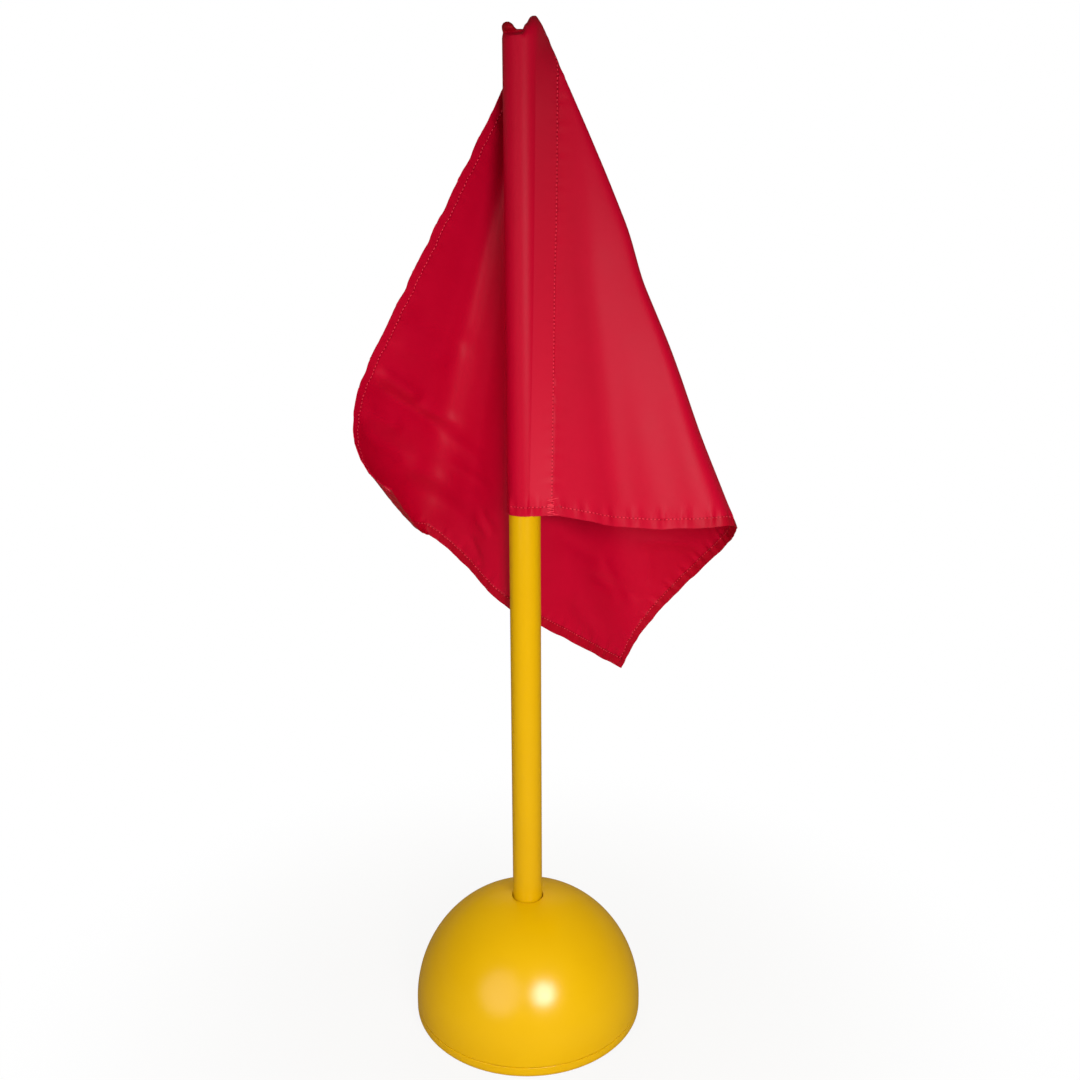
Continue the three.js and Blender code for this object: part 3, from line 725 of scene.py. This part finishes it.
def sleeve_points():
    """The sleeve at all levels, its last ones drawn together into the seam over the pole."""
    crease_row = sleeve_level(CREASE_DOWN, CREASE_DOWN * FOLD_SLOPE)
    left_end = np.array((-sleeve_radius, 0, 0))
    along = np.clip((crease_row[:, 0] - left_end[0]) / (FLAG_CORNER[0] - left_end[0]), 0, 1)
    along = along + (1 - along) * (1 - smooth(0, RIDGE_SHARE, sleeve_shares))
    ridge = left_end + (FLAG_CORNER - left_end) * along[:, None]
    ridge[:, 2] = np.interp(along, *np.transpose(RIDGE))
    at_tail = 1 - smooth(0, TAIL_SHARE, sleeve_shares)
    pinch = ((1 - smooth(EAR_END, DIP_END, along)) * (1 - at_tail))[:, None] * PINCH_SHARES
    levels = []
    for down, tail in zip(downs, tails):
        if down >= CREASE_DOWN:
            levels.append(sleeve_level(down, tail))
            continue
        rise = 1 - down / CREASE_DOWN
        inward = at_tail * rise + (1 - at_tail) * (1 - math.cos(math.pi / 2 * rise))
        upward = at_tail * rise + (1 - at_tail) * math.sin(math.pi / 2 * rise)
        share = np.stack([inward, inward, upward], axis=-1)
        level = crease_row + (ridge - crease_row) * share
        at_pinch = np.exp(-((level[:, 2:] - PINCH_Z) / PINCH_WIDTH) ** 2)
        levels.append(level * (1 - pinch * at_pinch))
    return np.array(levels)


back_shares = np.linspace(0, 1, SLEEVE_STEPS + 1)
front_shares = back_shares[1:-1][::-1]
sleeve_shares = np.concatenate([back_shares, front_shares])
sleeve_back = np.arange(len(sleeve_shares)) <= SLEEVE_STEPS
panel, panel_out = panel_points()
sleeve = sleeve_points()

lap_widths = LAP_WIDTH * smooth(CREASE_DOWN, 3 * CREASE_DOWN, downs)
lap_outs = tails[:, None] + lap_widths[:, None] * np.array([1, 0.5])
lap_behind = (LAP_DEPTH * smooth(0, CREASE_DOWN, downs))[:, None, None]
lap = on_flag(lap_outs, downs[:, None]) - outward(panel)[:, 1:3] * lap_behind

smooth_cloth = np.concatenate([lap, sleeve, panel], axis=1)
at_peak = (smooth(PEAK_FOOT, FLAG_CORNER[2], smooth_cloth[..., 2])
           * smooth(0, PEAK_SIDE, smooth_cloth[..., 0]))
smooth_cloth[..., 0] -= PEAK_LEAN * at_peak
first_panel_column = lap.shape[1] + sleeve.shape[1]
foot_steps = np.linalg.norm(np.diff(smooth_cloth[-1], axis=0), axis=1)
round_sleeve = SEAM_OUT - np.cumsum(foot_steps[:first_panel_column][::-1])[::-1]
cloth_out = np.concatenate([np.broadcast_to(round_sleeve, (len(downs), first_panel_column)),
                            panel_out], axis=1)
cloth_down = np.broadcast_to(downs[:, None], cloth_out.shape)
heights = wrinkles(cloth_out, cloth_down)
cloth_normals = outward(smooth_cloth)
cloth_middle = smooth_cloth + cloth_normals * heights[..., None]
cloth_normals = outward(cloth_middle)


def sheet_faces(rows, columns):
    """Faces of a closed sheet made of two grids of points, the outer one first."""
    count = rows * columns
    faces = []
    for row in range(rows - 1):
        for column in range(columns - 1):
            corner = row * columns + column
            outer = (corner, corner + columns, corner + columns + 1, corner + 1)
            faces.append(outer)
            faces.append(tuple(i + count for i in reversed(outer)))
    edge = [*range(columns), *range(2 * columns - 1, count, columns),
            *range(count - 2, count - columns - 1, -1), *range(count - 2 * columns, 0, -columns)]
    for here, there in zip(edge, edge[1:] + edge[:1]):
        faces.append((here, there, there + count, here + count))
    return faces


STITCH_PITCH = 0.0037
STITCH_LENGTH = 0.0023
SEAM_COLUMNS_IN = 1.7
WEAVE_PITCH = 0.0007
WEAVE_RISE = 0.00004
NYLON_ROUGHNESS = 0.40
MOTTLE_ROUGHNESS = 0.08
NYLON_GLOSS = 0.10
# The needle's dents are painted dark, as the shade in them.
NEEDLE_SHADE_RED = (0.16, 0.0, 0.004, 1)
DIMPLE_SHADE = 0.45
DIMPLE_WIDTH = 0.0012
DIMPLE_FADE = (0.1, 0.7)
CLOTH_RED = (0.51, 0.0, 0.024, 1)
CLOTH_RED_DEEP = (0.46, 0.0, 0.019, 1)
# The hems are painted darker, as the shade of less light coming through the doubled cloth; the ear
# over the pole is painted darker still, as the shade of its fold.
HEM_SHADE_RED = (0.34, 0.0, 0.008, 1)
HEM_SHADE = 0.6
# A band over the turned-in lap beside the seam is painted lighter and hazier, as a painted sheen.
LAP_SHEEN_RED = (0.53, 0.008, 0.032, 1)
LAP_SHEEN_BAND = 0.0222
LAP_SHEEN_EDGE = 0.0006
LAP_SHEEN_TOP = 0.03
TOP_HEM_SHADE = 0.05
# The painted hem shade is weaker on the front panel, and near the top it gives way to painted
# light on the curled corner's hem, which lies in shadow.
FRONT_HEM_SHADE = 0.15
FRONT_HEM_ENDS = (0.13, 0.20)
CURLED_HEM_ENDS = (0.10, 0.20)


seam_column = first_panel_column - SEAM_COLUMNS_IN
seam_line = float(np.interp(seam_column, range(cloth_out.shape[1]), cloth_out[-1]))
fly_line = FLY_EDGE - STITCH_LINE
foot_line = FLAG_HOIST - STITCH_LINE


def cloth_value(finish, name):
    """One of the values that the cloth's mesh carries at each of its points."""
    return finish.node("ShaderNodeAttribute", {"attribute_name": name}, output="Fac")


def needle_shade_line(finish, across, line, along):
    """Painted shade in the needle's dents along a line of stitches, one between each two of them.
    """
    away = finish.node("ShaderNodeMath", {"operation": "ABSOLUTE"}, {0: across - line})
    turn = (along + (STITCH_PITCH - STITCH_LENGTH) / 2) * (TAU / STITCH_PITCH)
    beat = finish.node("ShaderNodeMath", {"operation": "COSINE"}, {0: turn})
    return (1 - away.between(DIMPLE_WIDTH / 3, DIMPLE_WIDTH)) * beat.between(*DIMPLE_FADE)


def nylon(name):
    """Satin nylon with a fine weave. Its hems are painted darker, as the shade of less light
    coming through the doubled cloth; a band over the turned-in lap is painted lighter as a
    painted sheen; and the needle's dents hold painted shade.
    """
    finish = Finish(name)
    out = cloth_value(finish, "cloth_out")
    down = cloth_value(finish, "cloth_down")
    hem = cloth_value(finish, "cloth_hem_shade")
    warp, weft = [finish.node("ShaderNodeMath", {"operation": "SINE"},
                              {0: place * (TAU / WEAVE_PITCH)}) for place in (out, down)]
    mottle = finish.noise(scale=30, detail=3)
    cloth = finish.mix(mottle, CLOTH_RED_DEEP, CLOTH_RED)
    # The band where the painted sheen lies, over the turned-in lap.
    lap_sheen = (out.between(seam_line - LAP_SHEEN_BAND, seam_line - LAP_SHEEN_BAND + LAP_SHEEN_EDGE)
                 * (1 - out.between(seam_line, seam_line + LAP_SHEEN_EDGE))
                 * down.between(LAP_SHEEN_TOP, 3 * LAP_SHEEN_TOP)
                 * (1 - down.between(foot_line, foot_line + LAP_SHEEN_EDGE)))
    sewn = finish.mix(hem * HEM_SHADE, finish.mix(lap_sheen, cloth, LAP_SHEEN_RED), HEM_SHADE_RED)
    needle_shade = (needle_shade_line(finish, out, seam_line, down) + needle_shade_line(finish, out, fly_line, down)
               + needle_shade_line(finish, down, STITCH_LINE, out)
               + needle_shade_line(finish, down, foot_line, out))
    finish.set(Base_Color=finish.mix(needle_shade * DIMPLE_SHADE, sewn, NEEDLE_SHADE_RED),
               Roughness=NYLON_ROUGHNESS + MOTTLE_ROUGHNESS * mottle,
               Normal=finish.bump(warp * weft, distance=WEAVE_RISE, strength=0.3),
               Specular_IOR_Level=NYLON_GLOSS)
    return finish.material


# How far each point is painted toward the hem's shade colour, as painted shade.
in_long_hems = (cloth_down > FLAG_HOIST - HEM_WIDTH) | (cloth_out > FLY_EDGE - HEM_WIDTH)
in_top_hem = (cloth_down < HEM_WIDTH) & (cloth_out > SEAM_OUT)
in_ear = (smooth_cloth[..., 2] > PINCH_Z) & (smooth_cloth[..., 0] < 0) & (cloth_out < SEAM_OUT)
# Full painted shade on the back hems only; the front hem and the curled corner are painted
# lighter.
hem_shade_ramp = smooth(*FRONT_HEM_ENDS, cloth_out) * smooth(*CURLED_HEM_ENDS, cloth_down)
long_hem_shade = FRONT_HEM_SHADE + (1 - FRONT_HEM_SHADE) * hem_shade_ramp
hem_shade = np.select([in_long_hems, in_ear, in_top_hem],
                      [long_hem_shade, EAR_SHADE, TOP_HEM_SHADE], 0)
doubled = np.where(in_long_hems | in_top_hem, HEM_FOLD, 0)[..., None]
outer_side = cloth_middle + cloth_normals * (CLOTH / 2)
inner_side = cloth_middle - cloth_normals * (CLOTH / 2 + doubled)
both_sides = np.concatenate([outer_side.reshape(-1, 3), inner_side.reshape(-1, 3)])
flag = piece_of("flag_cloth", both_sides, sheet_faces(*cloth_out.shape), nylon("red_nylon"))
carried = {"cloth_out": cloth_out, "cloth_down": cloth_down, "cloth_hem_shade": hem_shade}
for name, values in carried.items():
    layer = flag.data.attributes.new(name, "FLOAT", "POINT")
    layer.data.foreach_set("value", np.tile(values.ravel(), 2))
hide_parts("flag_panel", "flag_sleeve")
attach(flag, "flag")


# The stitches are short lengths of thread, the same on both sides of the cloth. The bar tack at
# the sleeve's foot and the tacks at the curled corner go to and fro.
THREAD_RADIUS = 0.00034
TACK_STEPS = 11
TACK_OUTS = (0.005, 0.006)
TACK_RISE = 0.018
TACK_MARGIN = 0.002
SPINDLE_SHARES = (0.2, 0.8)
STITCH_START = 0.03
RUN_STEPS = 400
THREAD_RED = (0.80, 0.050, 0.09, 1)

thread_red = Finish("red_thread")
thread_red.set(Base_Color=THREAD_RED, Roughness=0.6, Specular_IOR_Level=NYLON_GLOSS)


def cloth_at(rows, columns, side):
    """Points on one side of the cloth, and their directions, at broken rows and columns."""
    rows, columns = np.broadcast_arrays(np.asarray(rows, float), np.asarray(columns, float))
    low_row = np.clip(rows.astype(int), 0, cloth_out.shape[0] - 2)
    low_column = np.clip(columns.astype(int), 0, cloth_out.shape[1] - 2)
    down = (rows - low_row)[..., None]
    across = (columns - low_column)[..., None]
    surface = outer_side if side > 0 else inner_side
    found = []
    for grid in (surface, cloth_normals * side):
        upper, lower = [grid[row, low_column] * (1 - across) + grid[row, low_column + 1] * across
                        for row in (low_row, low_row + 1)]
        found.append(upper * (1 - down) + lower * down)
    return found


def thread_piece(name, starts, ends, normals):
    """One mesh of stitches, each a little spindle of thread lying on the cloth."""
    sides = unit(np.cross(ends - starts, normals)) * THREAD_RADIUS
    ups = unit(normals) * THREAD_RADIUS
    rings = [starts + (ends - starts) * share + offset
             for share in SPINDLE_SHARES for offset in (sides, ups, -sides, -ups)]
    spindles = np.stack([starts, ends, *rings], axis=1)
    faces = []
    for stitch in range(len(spindles)):
        first = stitch * spindles.shape[1]
        last, near, far = first + 1, first + 2, first + 6
        for k in range(4):
            after = (k + 1) % 4
            faces.append((first, near + k, near + after))
            faces.append((near + k, far + k, far + after, near + after))
            faces.append((far + k, last, far + after))
    return piece_of(name, spindles.reshape(-1, 3), faces, thread_red.material)


def at_places(places, along, vectors):
    """Vectors known at points along a line, read at other places on it."""
    return np.stack([np.interp(places, along, vectors[:, k]) for k in range(3)], axis=-1)


def sewn_line(name, rows, columns):
    """A line of stitches on both sides of the cloth along a run of rows and columns."""
    if np.ndim(rows):
        along = np.interp(rows, range(len(downs)), downs)
    else:
        along = np.interp(columns, range(cloth_out.shape[1]), cloth_out[-1])
    first = math.ceil(along[0] / STITCH_PITCH) * STITCH_PITCH
    begin = np.arange(first, along[-1] - STITCH_LENGTH, STITCH_PITCH)
    starts, ends, normals = [], [], []
    for side in (1, -1):
        points, facing = cloth_at(rows, columns, side)
        starts.append(at_places(begin, along, points))
        ends.append(at_places(begin + STITCH_LENGTH, along, points))
        normals.append(at_places(begin, along, facing))
    return thread_piece(name, *(np.concatenate(parts) for parts in (starts, ends, normals)))


def tack(name, rows, columns):
    """Stitches to and fro between two columns, down a short run of rows."""
    starts, ends, normals = [], [], []
    for side in (1, -1):
        to_and_fro = np.where(np.arange(TACK_STEPS + 1) % 2, *columns)
        points, facing = cloth_at(np.linspace(*rows, TACK_STEPS + 1), to_and_fro, side)
        starts.append(points[:-1])
        ends.append(points[1:])
        normals.append(facing[:-1])
    return thread_piece(name, *(np.concatenate(parts) for parts in (starts, ends, normals)))


def row_at(down):
    """The cloth's row, with its fraction, that lies this far down."""
    return float(np.interp(down, downs, range(len(downs))))


def column_at(out):
    """The cloth's column, with its fraction, that lies this far out at the foot."""
    return float(np.interp(out, cloth_out[-1], range(cloth_out.shape[1])))


def run(start, end):
    """A run of rows or columns, close enough to follow the cloth between its points."""
    return np.linspace(start, end, RUN_STEPS)


foot_row = len(downs) - 1
hem_row = row_at(foot_line)
fly_column = column_at(fly_line)
threads = [
    sewn_line("seam_stitches", run(row_at(STITCH_START), hem_row), seam_column),
    sewn_line("sleeve_hem_stitches", hem_row, run(lap.shape[1], seam_column)),
    sewn_line("lower_hem_stitches", hem_row, run(seam_column, fly_column)),
    sewn_line("fly_stitches", run(row_at(STITCH_LINE), hem_row), fly_column),
    sewn_line("top_hem_stitches", row_at(STITCH_LINE), run(column_at(STITCH_START), fly_column)),
    tack("sleeve_tack", (row_at(FLAG_HOIST - TACK_RISE), foot_row - 0.5),
         (column_at(seam_line - TACK_OUTS[0]), column_at(SEAM_OUT + TACK_OUTS[1]))),
    tack("corner_tack", (row_at(TACK_MARGIN), row_at(STITCH_LINE)),
         (fly_column, column_at(FLY_EDGE - TACK_MARGIN))),
]
for thread in threads:
    thread.parent = flag
    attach(thread, "flag")
